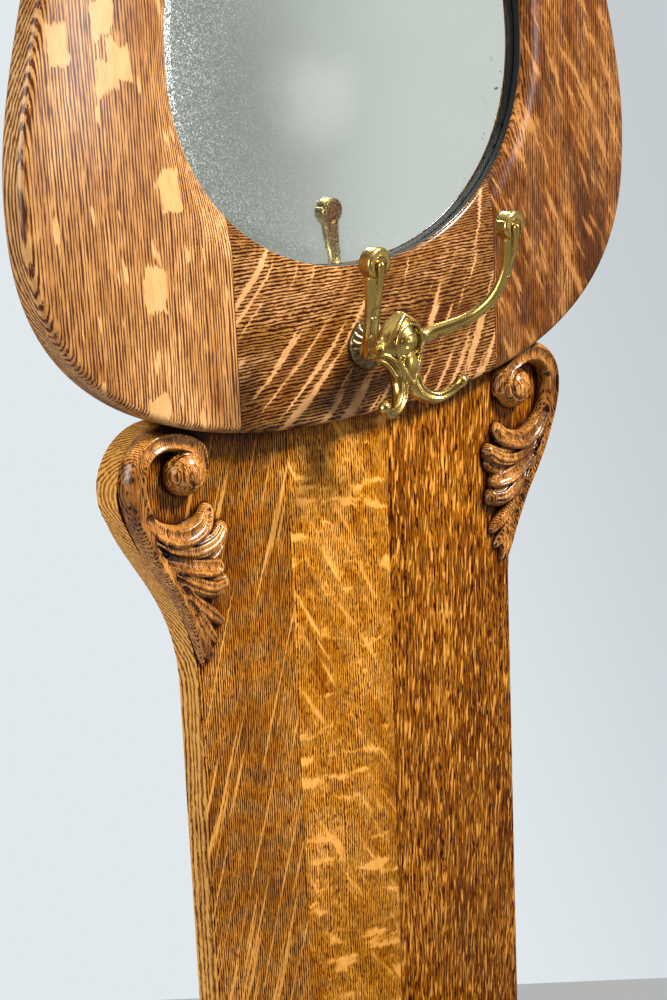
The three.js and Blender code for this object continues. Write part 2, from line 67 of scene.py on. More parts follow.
def link(name, data):
    piece = bpy.data.objects.new(name, data)
    bpy.context.scene.collection.objects.link(piece)
    return piece


def shape(name, points, faces, smooth=True, sharp=32.0):
    """A mesh from points in millimetres. Edges that turn more than sharp degrees stay crisp."""
    mesh = bpy.data.meshes.new(name)
    mesh.from_pydata((np.asarray(points, float) * MM).tolist(), [], faces)
    mesh.validate()
    mesh.polygons.foreach_set("use_smooth", [smooth] * len(mesh.polygons))
    if smooth and sharp:
        mesh.set_sharp_from_angle(angle=math.radians(sharp))
    mesh.update()
    return mesh


def build(name, points, faces, **shading):
    return link(name, shape(name, points, faces, **shading))


def joined(i, j, length, around=True):
    """Quads between rows i and j of points that are numbered row by row."""
    faces = []
    for k in range(length if around else length - 1):
        m = (k + 1) % length
        faces.append((i * length + k, i * length + m, j * length + m, j * length + k))
    return faces


def loft(name, rows, round_trip=False):
    """Skins a list of equal rows of points; the rows close on themselves as a section.
    An open loft gets flat ends, a round trip joins its last column to its first."""
    rows = np.asarray(rows, float)
    count, length = rows.shape[:2]
    faces = []
    for i in range(count):
        faces += joined(i, (i + 1) % count, length, round_trip)
    if not round_trip:
        faces.append(tuple(i * length for i in range(count)))
        faces.append(tuple(i * length + length - 1 for i in reversed(range(count))))
    return build(name, rows.reshape(-1, 3), faces)


# ---------------------------------------------------------------- the balloon outlines

def resample(loop, count):
    """A closed outline again, with its points at equal steps."""
    ring = np.vstack([loop, loop[:1]])
    steps = np.hypot(*np.diff(ring, axis=0).T)
    walk = np.concatenate([[0.0], np.cumsum(steps)])
    where = np.linspace(0.0, walk[-1], count, endpoint=False)
    return np.stack([np.interp(where, walk, ring[:, k]) for k in (0, 1)], axis=1)


def balloon(half, level, drop, rise, corner, close=0.36, ease=80.0, steps=700):
    """Closed outline, from the bottom centre to the right and round: a squarish lower half,
    then sides that close in and a round head. A larger corner is squarer, close is how much
    the sides lean in and ease is how gently they start to."""
    a = np.linspace(0.0, math.pi / 2, steps)
    low = np.stack([half * np.sin(a) ** (2 / corner), level - drop * np.cos(a) ** (2 / corner)], 1)
    up = rise * np.sin(a[1:])
    narrowed = half - close * (np.hypot(up, ease) - ease)
    head = np.maximum(0.0, 1 - (up / rise) ** 4) ** 0.45
    right = np.vstack([low, np.stack([narrowed * head, level + up], axis=1)])
    return resample(np.vstack([right, right[-2:0:-1] * (-1, 1)]), OUTLINE_POINTS)


def spread(loop, distance):
    """Moves a closed outline outward along its own normals."""
    run = np.roll(loop, -1, axis=0) - np.roll(loop, 1, axis=0)
    run /= np.hypot(*run.T)[:, None]
    return loop + distance * np.stack([run[:, 1], -run[:, 0]], axis=1)


OUTER = balloon(OUTER_HALF, DATUM + OUTER_LEVEL, OUTER_DROP, OUTER_RISE, corner=2.55)
OPENING = balloon(OPENING_HALF, DATUM + OPENING_LEVEL, OPENING_DROP, OPENING_RISE, corner=2.1)
# Between the seams of the bottom rail and those of the top rail.
MIDDLE = DATUM + 150


def crossing(loop, x, upper):
    """How far along the loop it passes a given x, in its upper or its lower part."""
    after = np.roll(loop, -1, axis=0)
    hits = np.nonzero(((loop[:, 0] < x) != (after[:, 0] < x)) & ((loop[:, 1] > MIDDLE) == upper))[0]
    i = hits[0]
    return i + (x - loop[i, 0]) / (after[i, 0] - loop[i, 0])


def stretch(loop, start, stop, count):
    """Equal steps along part of a loop."""
    n = len(loop)
    if stop <= start:
        stop += n
    where = np.linspace(start, stop, count)
    index = np.arange(2 * n + 1)
    twice = np.vstack([loop, loop, loop[:1]])
    return np.stack([np.interp(where, index, twice[:, k]) for k in (0, 1)], axis=1)


def ring_rows(section, ends=None, count=0):
    """Rows of points for a section swept round the frame, or in count steps from one of its ends
    to the other. A section point is an edge, the distance from it into the wood and the depth
    behind the front face."""
    rows = []
    for edge, inset, depth in section:
        line = spread(OPENING, inset) if edge == "in" else spread(OUTER, -inset)
        if ends:
            (x0, up0), (x1, up1) = ends
            line = stretch(line, crossing(line, x0, up0), crossing(line, x1, up1), count)
        depths = np.full(len(line), FRAME_FRONT + depth)
        rows.append(np.stack([line[:, 0], depths, line[:, 1]], axis=1))
    return rows


# ---------------------------------------------------------------- the mirror frame

THICK = 22
LIP, REBATE = 7, 9
HOLLOW_WIDE, HOLLOW_DEEP = 24, 5.35
ROUND_WIDE, ROUND_DEEP = 6.5, 6
SLOPE = [1.4, 3, 5, 7.5, 10, 12.5, 15, 17.5, 20, 22, HOLLOW_WIDE]
ARRIS = np.radians([0, 15, 30, 45, 60, 75, 90])
# Rebate and lip, the hollow that slopes to the opening, the round of the outer edge, the back.
FRAME_SECTION = (
    [("in", REBATE, THICK), ("in", REBATE, LIP), ("in", 0, LIP)]
    + [("in", 0, 6.3), ("in", 0.25, 5.75), ("in", 0.7, HOLLOW_DEEP)]
    + [("in", d, HOLLOW_DEEP * (1 - d / HOLLOW_WIDE) ** 1.9) for d in SLOPE]
    + [("out", ROUND_WIDE * (1 - math.sin(t)), ROUND_DEEP * (1 - math.cos(t))) for t in ARRIS]
    + [("out", 0, THICK - 1.5), ("out", 0.4, THICK - 0.5), ("out", 1.5, THICK)]
)
SEAM_GAP = 0.3
RAIL_ROWS, STILE_ROWS = 260, 420
# Where each piece starts and stops: an x, and whether that is in the upper half of the frame.
FRAME_PIECES = {
    "frame_bottom_rail": ((-BOTTOM_SEAM, False), (BOTTOM_SEAM, False), RAIL_ROWS),
    "frame_stile_right": ((BOTTOM_SEAM + SEAM_GAP, False), (TOP_SEAM + SEAM_GAP, True), STILE_ROWS),
    "frame_top_rail": ((TOP_SEAM, True), (-TOP_SEAM, True), RAIL_ROWS),
    "frame_stile_left": ((-TOP_SEAM - SEAM_GAP, True), (-BOTTOM_SEAM - SEAM_GAP, False), STILE_ROWS),
}


def carcase_piece(piece, node):
    """Hides the CAD node that a piece stands in for and puts the piece on the carcase. All the replaced
    pieces are on the carcase.
    """
    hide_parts(node)
    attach(piece, "case")
    return piece


def make_frame():
    """Two stiles and two rails, cut from one ring at their seams."""
    pieces = {}
    for node, (start, stop, count) in FRAME_PIECES.items():
        rows = ring_rows(FRAME_SECTION, (start, stop), count)
        pieces[node] = loft(node + "_oak", rows)
        carcase_piece(pieces[node], node)
    return pieces


GLASS_EDGE, GLASS_FRONT, GLASS_BACK = 8, 13.3, 17
BEVEL_WIDE, BEVEL_DEEP = 19, 0.6


def make_liner():
    """The black packing strip between the lip and the mirror."""
    section = [("in", 8.7, 7.1), ("in", 0.9, 7.1), ("in", 0.5, 7.6), ("in", 0.5, 12.6),
               ("in", 0.9, 13.2), ("in", 8.7, 13.6)]
    piece = loft("mirror_liner_strip", ring_rows(section), round_trip=True)
    return carcase_piece(piece, "mirror_liner")


def make_glass():
    """The plate: a flat middle inside a wide ground bevel, which starts under the liner."""
    rings = ring_rows([("in", GLASS_EDGE, GLASS_BACK), ("in", GLASS_EDGE, GLASS_FRONT + BEVEL_DEEP),
                       ("in", GLASS_EDGE - BEVEL_WIDE, GLASS_FRONT)])
    length = len(rings[0])
    faces = [tuple(reversed(range(length))), tuple(range(2 * length, 3 * length))]
    faces += joined(0, 1, length) + joined(1, 2, length)
    piece = build("mirror_plate", np.vstack(rings), faces, smooth=False)
    return carcase_piece(piece, "mirror_glass")


# ---------------------------------------------------------------- shapes from distance fields

def eased(path, steps):
    """A smooth curve through the points of a path, with every column eased the same way."""
    path = np.asarray(path, float)
    padded = np.vstack([2 * path[0] - path[1], path, 2 * path[-1] - path[-2]])
    out = []
    for i in range(len(path) - 1):
        p0, p1, p2, p3 = padded[i:i + 4]
        for t in np.linspace(0, 1, steps, endpoint=False):
            out.append(0.5 * (2 * p1 + (p2 - p0) * t + (2 * p0 - 5 * p1 + 4 * p2 - p3) * t * t
                              + (3 * p1 - p0 - 3 * p2 + p3) * t ** 3))
    out.append(path[-1])
    return np.array(out)


class Field:
    """Distance to a shape on a regular grid of millimetres, to blend, carve and skin."""

    def __init__(self, low, high):
        self.low = np.array(low, float)
        self.axes = [np.arange(a, b + FIELD_STEP, FIELD_STEP, dtype=np.float32)
                     for a, b in zip(low, high)]
        self.value = np.full([len(axis) for axis in self.axes], FAR, np.float32)

    def window(self, low, high):
        """The part of the grid in a box, and the x, y and z of its places."""
        cut = tuple(slice(max(0, int(np.searchsorted(axis, a))), int(np.searchsorted(axis, b)))
                    for axis, a, b in zip(self.axes, low, high))
        x, y, z = (axis[c] for axis, c in zip(self.axes, cut))
        return cut, x[:, None, None], y[None, :, None], z[None, None, :]

    def add(self, cut, distance, blend=0.0):
        """Joins a shape to this one, with a fillet of about blend."""
        old = self.value[cut]
        if blend:
            h = np.clip(0.5 + 0.5 * (old - distance) / blend, 0, 1)
            self.value[cut] = old + (distance - old) * h - blend * h * (1 - h)
        else:
            self.value[cut] = np.minimum(old, distance)

    def carve(self, cut, distance, blend=0.0):
        """Takes a shape away from this one."""
        old = self.value[cut]
        if blend:
            h = np.clip(0.5 - 0.5 * (old + distance) / blend, 0, 1)
            self.value[cut] = old + (-distance - old) * h + blend * h * (1 - h)
        else:
            self.value[cut] = np.maximum(old, -distance)

    def rod(self, path, steps=6, blend=0.0, cutter=False, squash=(1, 1, 1), reach=5.0):
        """A bar along a smooth path of x, y, z, radius. squash flattens its section."""
        points = eased(path, steps)
        squash = np.array(squash, np.float32)
        widest = points[:, 3].max() / squash.min() + reach
        whole, x, y, z = self.window(points[:, :3].min(0) - widest, points[:, :3].max(0) + widest)
        near = np.full((x.size, y.size, z.size), FAR, np.float32)
        starts = [c.start for c in whole]
        for a, b in zip(points[:-1], points[1:]):
            span = max(a[3], b[3]) / squash.min() + reach
            cut, x, y, z = self.window(np.minimum(a, b)[:3] - span, np.maximum(a, b)[:3] + span)
            inner = tuple(slice(c.start - s, c.stop - s) for c, s in zip(cut, starts))
            run = (b[:3] - a[:3]) * squash
            px, py, pz = ((q - p) * s for q, p, s in zip((x, y, z), a[:3], squash))
            t = np.clip((px * run[0] + py * run[1] + pz * run[2]) / max(run @ run, 1e-9), 0, 1)
            gap = np.sqrt((px - t * run[0]) ** 2 + (py - t * run[1]) ** 2 + (pz - t * run[2]) ** 2)
            gap -= a[3] + (b[3] - a[3]) * t
            near[inner] = np.minimum(near[inner], gap)
        (self.carve if cutter else self.add)(whole, near, blend)

    def egg(self, centre, radii, blend=0.0):
        """A ball with three radii."""
        radii = np.array(radii, float)
        cut, x, y, z = self.window(np.array(centre) - radii - 6, np.array(centre) + radii + 6)
        parts = [((q - c) / r) ** 2 for q, c, r in zip((x, y, z), centre, radii)]
        distance = (np.sqrt(parts[0] + parts[1] + parts[2]) - 1) * radii.min()
        self.add(cut, distance.astype(np.float32), blend)

    def mirror(self):
        """Doubles the shape across x = 0, where its grid starts."""
        self.low[0] -= (len(self.axes[0]) - 1) * FIELD_STEP
        self.value = np.concatenate([self.value[:0:-1], self.value])
        self.axes[0] = self.low[0] + np.arange(len(self.value)) * FIELD_STEP

    def skin(self):
        """Points and quads of the surface where the distance is nought."""
        value = np.pad(self.value, 1, constant_values=FAR)
        solid = value < 0
        rings, places = [], []
        for axis in range(3):
            near = tuple(slice(None, -1) if k == axis else slice(None) for k in range(3))
            far = tuple(slice(1, None) if k == axis else slice(None) for k in range(3))
            spot = np.argwhere(solid[near] != solid[far])
            here, there = value[near][tuple(spot.T)], value[far][tuple(spot.T)]
            place = spot.astype(float)
            place[:, axis] += here / (here - there)
            side, up = (axis + 1) % 3, (axis + 2) % 3
            ring = []
            for du, dv in ((0, 0), (-1, 0), (-1, -1), (0, -1)):
                cell = spot.copy()
                cell[:, side] += du
                cell[:, up] += dv
                ring.append(np.ravel_multi_index(cell.T, value.shape))
            ring = np.stack(ring, axis=1)
            ring[here > 0] = ring[here > 0][:, ::-1]
            rings.append(ring)
            places.append(place)
        rings, places = np.vstack(rings), np.vstack(places)
        _, slots = np.unique(rings.ravel(), return_inverse=True)
        slots = slots.reshape(-1)
        shared = np.repeat(places, 4, axis=0)
        counts = np.bincount(slots)
        points = np.stack([np.bincount(slots, shared[:, k]) / counts for k in range(3)], axis=1)
        return (points - 1) * FIELD_STEP + self.low, slots.reshape(-1, 4).tolist()


# ---------------------------------------------------------------- hooks

# Centre lines of the right half of a hook: across, out from the frame, up, radius.
ARM = [(8, 30, 0, 6.4), (30, 35, 5, 4.6), (50, 52, 12.5, 4.1), (62, 67, 27, 3.9),
       (67, 75.5, 47, 3.9), (67.6, 78.5, 68, 5.2)]
PRONG = [(5, 36, -12, 7.0), (9, 41, -31, 6.0), (20, 46.5, -38.5, 4.6), (31, 51, -37, 3.7),
         (38, 55, -31.5, 3.5)]
STEM = [(0, 10.5, 0, 8.2), (0, 15, 0, 7), (0, 24, 0, 7), (0, 34, 0, 9)]
PEAK = [(0, 33, 12, 10), (0, 34, 18, 7), (0, 35.5, 23, 4)]
# The flat round knob at the end of the arm: across, out, up.
KNOB = (67.6, 79.75, 78)
KNOB_RADIUS, KNOB_HALF, KNOB_EDGE = 10.4, 5.75, 2.0
# The lower hook is bent: it rises this much for each millimetre to the right.
HOOK_BEND = 0.07
# The arm's key pattern lies between these two steps of its centre line.
KEY_START, KEY_STOP, KEY_EVERY = 10, 33, 5
RAIL_APART, RAIL_PROUD = 1.7, 0.6
FLUTES = 18
# Ridges raised on the body: across, out, up, radius.
BODY_RIDGES = [
    [(0, 39, 25, 1.5), (9, 41, 18, 1.4), (16, 40, 9, 1.4), (23, 37, 3, 1.2)],
    [(1, 43.5, 18.5, 1.0), (9, 43.5, 15, 1.2), (12.6, 43, 5, 1.3), (10, 43.5, -4, 1.2)],
    [(26, 35.5, 2, 1.3), (16, 39, -2, 1.7), (10.5, 42, -9, 1.7), (7, 43.5, -20, 1.4)],
    [(25, 34, -2, 1.2), (17, 37, -7, 1.8), (12, 40, -16, 1.8), (8.5, 43, -28, 1.5)],
    [(10.5, 43.5, -4, 1.1), (7, 44.5, -13, 1.3), (0, 46, -24, 1.3)],
]


def forward(points):
    """Hook points are across, out from the frame, up: the row frame counts out backwards."""
    return [(p[0], -p[1], *p[2:]) for p in points]


def arm_lines():
    """The arm's smooth centre line with its outward and its sideways direction."""
    line = eased(forward(ARM), 8)
    run = np.gradient(line[:, :3], axis=0)
    run /= np.linalg.norm(run, axis=1)[:, None]
    lean = np.array([0.3, -1.0, -0.55])
    outward = lean - (run @ lean)[:, None] * run
    outward /= np.linalg.norm(outward, axis=1)[:, None]
    return line, outward, np.cross(run, outward)


def add_knob(f):
    """A flat disc with a rounded edge, its keyhole-shaped hollow and a tongue in the hollow."""
    cx, cy, cz = forward([KNOB])[0]
    whole = Vector((KNOB_RADIUS + 5, KNOB_HALF + 5, KNOB_RADIUS + 5))
    cut, x, y, z = f.window(Vector((cx, cy, cz)) - whole, Vector((cx, cy, cz)) + whole)
    across = np.hypot(x - cx, z - cz) - (KNOB_RADIUS - KNOB_EDGE)
    along = np.abs(y - cy) - (KNOB_HALF - KNOB_EDGE)
    outside = np.hypot(np.maximum(across, 0), np.maximum(along, 0))
    f.add(cut, outside + np.minimum(np.maximum(across, along), 0) - KNOB_EDGE, blend=1.2)

    face = cy - KNOB_HALF
    keyhole = [(cx, face, cz - 1, 5.3), (cx, face + 0.3, cz - 10, 4.4),
               (cx, face + 1.7, cz - 20, 3.3), (cx - 0.2, face + 4.2, cz - 29, 2.6)]
    f.rod(keyhole, cutter=True, squash=(1, 2.2, 1), blend=0.4)
    tongue = [(x, y + 0.6, z, r * 0.48) for x, y, z, r in keyhole]
    tongue[-1] = (cx - 0.2, face + 5.4, cz - 29, 0.6)
    f.rod(tongue, squash=(1, 0.8, 1), blend=0.5)


def chase_arm(f, line, outward, sideways):
    """A shallow channel down the front of the arm, crossed and split like a key pattern."""
    front = line[:, :3] + outward * (RAIL_PROUD + line[:, 3:])
    channel = np.hstack([front + outward * 1.3, np.full((len(front), 1), 2.9)])
    f.rod(channel[KEY_START:KEY_STOP], steps=1, cutter=True, blend=0.4)
    for k, at in enumerate(range(KEY_START, KEY_STOP, KEY_EVERY)):
        bar = [(*(front[at] + sideways[at] * s - outward[at] * 0.7), 0.8) for s in (-2.8, 0, 2.8)]
        f.rod(bar, steps=2, blend=0.3)
        if k % 2 == 0:
            stop = min(at + KEY_EVERY + 1, KEY_STOP)
            rib = [(*(front[j] - outward[j] * 1.3), 0.8) for j in range(at, stop)]
            f.rod(rib, steps=1, blend=0.3)


def hook_half():
    """The right half of a hook, in a frame with its back at nought and its front towards -Y."""
    f = Field((0, -92, -52), (81, -8, 93))
    f.rod(forward(STEM), blend=1)
    f.egg((0, -32.5, 4), (21, 11, 20), blend=4)
    f.egg((0, -36, -16), (10.5, 9.5, 16), blend=4)
    f.rod(forward(PEAK), blend=4)

    # The arm is two rails side by side.
    line, outward, sideways = arm_lines()
    for shift in (-RAIL_APART, RAIL_APART):
        rail = line.copy()
        rail[:, :3] += sideways * shift + outward * RAIL_PROUD
        f.rod(rail, steps=1, blend=2.5)
    add_knob(f)
    chase_arm(f, line, outward, sideways)

    # The prong ends in a ball and has a groove along its front.
    f.rod(forward(PRONG), blend=3)
    f.egg((39.5, -56, -30), (4.7, 4.7, 4.7), blend=1)
    groove = [(x, y + 1.02 * r, z + 0.25 * r, 0.34 * r) for x, y, z, r in PRONG]
    f.rod(forward(groove), cutter=True, blend=0.5)

    # A boss in a ring, ridges like the veins of a leaf, and a leaf below.
    f.egg((0, -41.5, 6), (8.6, 5.5, 8.6), blend=0.8)
    ring = [(10 * math.sin(t), 44, 6 - 10 * math.cos(t), 1.3) for t in np.linspace(0.1, 3.04, 9)]
    f.rod(forward(ring), cutter=True, blend=0.5)
    for ridge in BODY_RIDGES:
        f.rod(forward(ridge), blend=0.9)
    f.egg((0, -43.5, -12), (7.5, 3.4, 11), blend=0.8)
    return f


def rosette_place(place):
    """The middle of a rosette's back face, which is where its hook is screwed on."""
    low, high = (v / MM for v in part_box(f"hook_{place}_rosette"))
    return Vector(((low.x + high.x) / 2, high.y, (low.z + high.z) / 2)) * MM


def make_hooks():
    """One casting, kept straight for the upper hooks and bent for the lower one. The swirl on
    its boss is the only thing that is not the same on both sides."""
    f = hook_half()
    f.mirror()
    swirl = [(4.8 * math.cos(t), 46.6 - 0.2 * abs(t), 6 + 4.8 * math.sin(t), 1.1)
             for t in np.linspace(-0.6, 3.6, 9)]
    f.rod(forward(swirl), cutter=True, blend=0.5)
    points, faces = f.skin()
    straight = shape("hook_straight", points, faces, sharp=None)
    bent = shape("hook_bent", points + points[:, :1] * (0, 0, HOOK_BEND), faces, sharp=None)
    pieces = []
    for place, mesh in (("lower", bent), ("left", straight), ("right", straight)):
        piece = link(f"hook_{place}_brass", mesh)
        piece.location = rosette_place(place)
        pieces.append(carcase_piece(piece, f"hook_{place}_casting"))
    return pieces


def rosette_shape():
    """A fluted cup, its back at nought and its front towards -Y."""
    # Radius, how far out, and how much of the fluting there is at that radius.
    profile = [(18.5, 0.0, 0.0), (18.5, 1.6, 0.0), (18.2, 2.5, 0.1), (17.3, 3.3, 0.5)]
    profile += [(r, 3.6 + 5.2 * math.sin((17 - r) / 13 * math.pi / 2), 1.0)
                for r in np.linspace(16.6, 8.6, 9)]
    profile += [(8.0, 9.0, 0.2), (7.2, 9.3, 0.0), (3.0, 9.4, 0.0)]
    length = FLUTES * 12
    turn = np.linspace(0, 2 * math.pi, length, endpoint=False)
    rows = []
    for radius, out, fluted in profile:
        wave = fluted * 1.3 * (np.abs(np.sin(FLUTES / 2 * turn)) - 0.6)
        r = radius + 0.4 * wave
        rows.append(np.stack([r * np.cos(turn), -(out + wave), r * np.sin(turn)], axis=1))
    faces = []
    for i in range(len(rows) - 1):
        faces += joined(i, i + 1, length)
    faces.append(tuple(reversed(range(length))))
    faces.append(tuple(range((len(rows) - 1) * length, len(rows) * length)))
    return shape("rosette", np.vstack(rows), faces, sharp=50)


def make_rosettes():
    """Three places for one cup."""
    cup = rosette_shape()
    pieces = []
    for place in ("lower", "left", "right"):
        piece = link(f"rosette_{place}_fluted", cup)
        piece.location = rosette_place(place)
        pieces.append(carcase_piece(piece, f"hook_{place}_rosette"))
    return pieces


# ---------------------------------------------------------------- carved scrolls

# Strokes of the right-hand scroll: x, height above the datum, radius; then how far they stand up.
BAND = [(156, -194, 8), (160, -181, 9), (171, -173.5, 9.2), (186, -169.8, 9), (201, -173, 9.3),
        (211, -183, 9.7), (214, -198, 10), (211, -215, 10), (204, -232, 10), (196, -248, 10),
        (187, -264, 9.5), (178, -280, 8.5), (171, -296, 7.5), (166, -312, 6), (163.5, -325, 4.5),
        (162.5, -335, 2.5)]
# Grooves along a leaf, each a place across it and a width, as shares of its radius.
SCOOP = ((-0.35, 0.6),)
RIDGES = ((-0.6, 0.15), (-0.1, 0.15), (0.4, 0.15))
SPINE = ((0.0, 0.4),)
# The rise of a leaf, its grooves and its stroke.
LEAVES = [
    (1.45, SCOOP, [(207, -222, 7), (194, -235, 9), (176, -241, 10), (159, -236, 9), (152, -227, 6)]),
    (1.25, RIDGES, [(201, -236, 7), (186, -247, 9), (167, -252, 10), (150, -249, 9.5), (141, -243, 7)]),
    (1.15, SPINE, [(196, -246, 6), (181, -256, 7.5), (164, -260, 8), (149, -258, 7), (141, -253, 5)]),
    (1.4, SCOOP, [(190, -255, 7), (175, -262, 9), (159, -267, 10), (148, -269, 8)]),
    (1.25, RIDGES, [(184, -264, 7), (169, -274, 9.5), (154, -281, 10), (144, -281, 8)]),
    (1.25, SPINE, [(180, -276, 7), (167, -290, 7.5), (154, -302, 6.5), (145, -309, 4.5)]),
    (1.2, SPINE, [(175, -287, 6.5), (164, -304, 7), (155, -317, 5.5), (150, -323, 3.5)]),
    (1.2, SPINE, [(170, -299, 6), (163, -315, 6), (158, -328, 4.5), (156, -335, 3)]),
]
# The ball the band winds round: x, height and radius.
EYE = (170, -195, 17)


def beside(path, share):
    """A stroke moved across itself by a share of its radius."""
    path = np.array(path, float)
    run = np.gradient(path[:, :2], axis=0)
    run /= np.hypot(*run.T)[:, None]
    path[:, :2] += np.stack([-run[:, 1], run[:, 0]], axis=1) * path[:, 2:] * share
    return path.tolist()


def carve_scroll(f, place, grow):
    """Adds one scroll to a field. place turns x and height into the field's x and z."""
    def stroke(path, lift, share=1.0):
        """A rod's points. lift gives how far out they lie for a radius."""
        return [(place(x, h)[0], -lift(r) * grow, place(x, h)[1], r * share * grow)
                for x, h, r in path]

    f.rod(stroke(BAND, lambda r: 0), squash=(1, 0.7, 1))
    f.rod(stroke(BAND, lambda r: 1.66 * r, 0.66), cutter=True, blend=0.6)
    for rise, grooves, path in LEAVES:
        f.rod(stroke(path, lambda r: 0), squash=(1, 1 / rise, 1), blend=0.5)
        for across, width in grooves:
            high = rise * math.sqrt(1 - across * across) + width * 0.45
            f.rod(stroke(beside(path, across), lambda r: high * r, width), cutter=True, blend=0.5)

    # The ball, with a groove that winds in over its front.
    eye_x, eye_height, eye_radius = EYE
    x, z = place(eye_x, eye_height)
    radius = eye_radius * grow
    f.egg((x, -1, z), (radius, radius * 1.05, radius), blend=1.0)
    turn = np.linspace(-0.6, 5.4, 18)
    reach = 16.0 - 1.9 * (turn + 0.6)
    across, up = eye_x + reach * np.cos(1.2 + turn), eye_height + reach * np.sin(1.2 + turn)
    front = -(1 + 1.05 * np.sqrt(np.maximum(eye_radius ** 2 - reach ** 2, 30.0)) + 0.3) * grow
    spiral = [(place(a, h)[0], y, place(a, h)[1], 1.5 * grow) for a, h, y in zip(across, up, front)]
    f.rod(spiral, cutter=True, blend=0.8)


def cut_flat(f):
    """Takes off what lies behind the board that the carving is glued to."""
    f.value = np.maximum(f.value, f.axes[1][None, :, None])


def shoulder_skin():
    """The right-hand scroll, flat at the back and trimmed under the frame."""
    f = Field((124, -20, -342), (228, 1, -154))
    carve_scroll(f, lambda x, h: (x, h), 1.0)
    cut_flat(f)
    # The frame stands over the top of the scroll, which stops just short of it.
    edge = spread(OUTER, 0.4) - (0, DATUM)
    edge = edge[(edge[:, 0] > 90) & (edge[:, 0] < 260) & (edge[:, 1] < 0)]
    clear = np.interp(f.axes[0], edge[:, 0], edge[:, 1])
    f.value = np.maximum(f.value, f.axes[2][None, None, :] - clear[:, None, None])
    return f.skin()


def make_scrolls():
    points, faces = shoulder_skin()
    pieces = []
    for side, name in ((1, "right"), (-1, "left")):
        placed = points * (side, 1, 1) + (0, BACK_FRONT, DATUM)
        quads = faces if side > 0 else [q[::-1] for q in faces]
        piece = build(f"scroll_{name}_carved", placed, quads, sharp=None)
        pieces.append(carcase_piece(piece, f"shoulder_scroll_{name}"))
    return pieces


# The crest's right half is a smaller scroll, turned, with its middle moved.
CREST_SIZE, CREST_TURN = 0.62, math.radians(57)
SCROLL_MIDDLE, CREST_MIDDLE = (174, -199), (30, 446)


def crest_place(x, height):
    a, b = (x - SCROLL_MIDDLE[0]) * CREST_SIZE, (height - SCROLL_MIDDLE[1]) * CREST_SIZE
    return (CREST_MIDDLE[0] + a * math.cos(CREST_TURN) - b * math.sin(CREST_TURN),
            CREST_MIDDLE[1] + a * math.sin(CREST_TURN) + b * math.cos(CREST_TURN))


def make_crest():
    """Two small scrolls that lie back to back over a button, on the top rail of the frame."""

    low, high = (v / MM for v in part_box("crest_scroll"))
    f = Field((0, -15, low.z - DATUM - 3), (high.x + 3, 1, high.z - DATUM + 3))
    carve_scroll(f, crest_place, CREST_SIZE)
    f.egg((0, 0, 447), (22, 9, 13), blend=1.0)
    cut_flat(f)
    f.mirror()
    points, faces = f.skin()
    piece = build("crest_carved", points + (0, FRAME_FRONT, DATUM), faces, sharp=None)
    return carcase_piece(piece, "crest_scroll")


# ---------------------------------------------------------------- shader arithmetic

class Value:
    """A shader socket that can be added, multiplied and compared."""

    def __init__(self, tree, socket):
        self.tree, self.socket = tree, socket

    def do(self, operation, *others, clamp=False):
        node = self.tree.nodes.new("ShaderNodeMath")
        node.operation, node.use_clamp = operation, clamp
        for slot, value in zip(node.inputs, (self, *others)):
            plug(self.tree, slot, value)
        return Value(self.tree, node.outputs[0])

    def __add__(self, other):
        return self.do("ADD", other)

    def __sub__(self, other):
        return self.do("SUBTRACT", other)

    def __mul__(self, other):
        return self.do("MULTIPLY", other)

    def __truediv__(self, other):
        return self.do("DIVIDE", other)

    def flip(self):
        """One less the value."""
        return self * -1.0 + 1.0

    def kept(self):
        """The value kept between nought and one."""
        return self.do("ADD", 0.0, clamp=True)

    def rise(self, low, high, start=0.0, stop=1.0):
        """Goes smoothly from start to stop as the value goes from low to high."""
        node = self.tree.nodes.new("ShaderNodeMapRange")
        node.interpolation_type = "SMOOTHSTEP"
        for slot, value in zip(node.inputs, (self, low, high, start, stop)):
            plug(self.tree, slot, value)
        return Value(self.tree, node.outputs[0])


def plug(tree, slot, value):
    """Links a value to a socket, or sets the socket to a plain number or colour."""
    if isinstance(value, Value):
        tree.links.new(value.socket, slot)
    else:
        slot.default_value = value


def finish(name):
    """A new material with its principled shader and the object's coordinates in millimetres."""
    material = bpy.data.materials.new(name)
    material.use_nodes = True
    tree = material.node_tree
    shader = tree.nodes["Principled BSDF"]
    place = tree.nodes.new("ShaderNodeTexCoord").outputs["Object"]
    split = tree.nodes.new("ShaderNodeSeparateXYZ")
    tree.links.new(place, split.inputs[0])
    return material, tree, shader, [Value(tree, s) * 1000.0 for s in split.outputs]


def vector(tree, x, y, z):
    node = tree.nodes.new("ShaderNodeCombineXYZ")
    for slot, value in zip(node.inputs, (x, y, z)):
        plug(tree, slot, value)
    return Value(tree, node.outputs[0])


def noise(tree, where, detail=2.0, rough=0.5, twist=0.0):
    node = tree.nodes.new("ShaderNodeTexNoise")
    plug(tree, node.inputs["Vector"], where)
    for key, value in (("Scale", 1.0), ("Detail", detail), ("Roughness", rough), ("Distortion", twist)):
        node.inputs[key].default_value = value
    return Value(tree, node.outputs["Fac"])


def cells(tree, where, metric="EUCLIDEAN"):
    """How far a place is from the middle of its cell."""
    node = tree.nodes.new("ShaderNodeTexVoronoi")
    node.distance = metric
    node.inputs["Scale"].default_value = 1.0
    plug(tree, node.inputs["Vector"], where)
    return Value(tree, node.outputs["Distance"])


def colour(code):
    """Linear colour from a display code such as e8aa64."""
    parts = [int(code[i:i + 2], 16) / 255 for i in (0, 2, 4)]
    return (*((p + 0.055) ** 2.4 / 1.055 ** 2.4 if p > 0.04 else p / 12.92 for p in parts), 1.0)


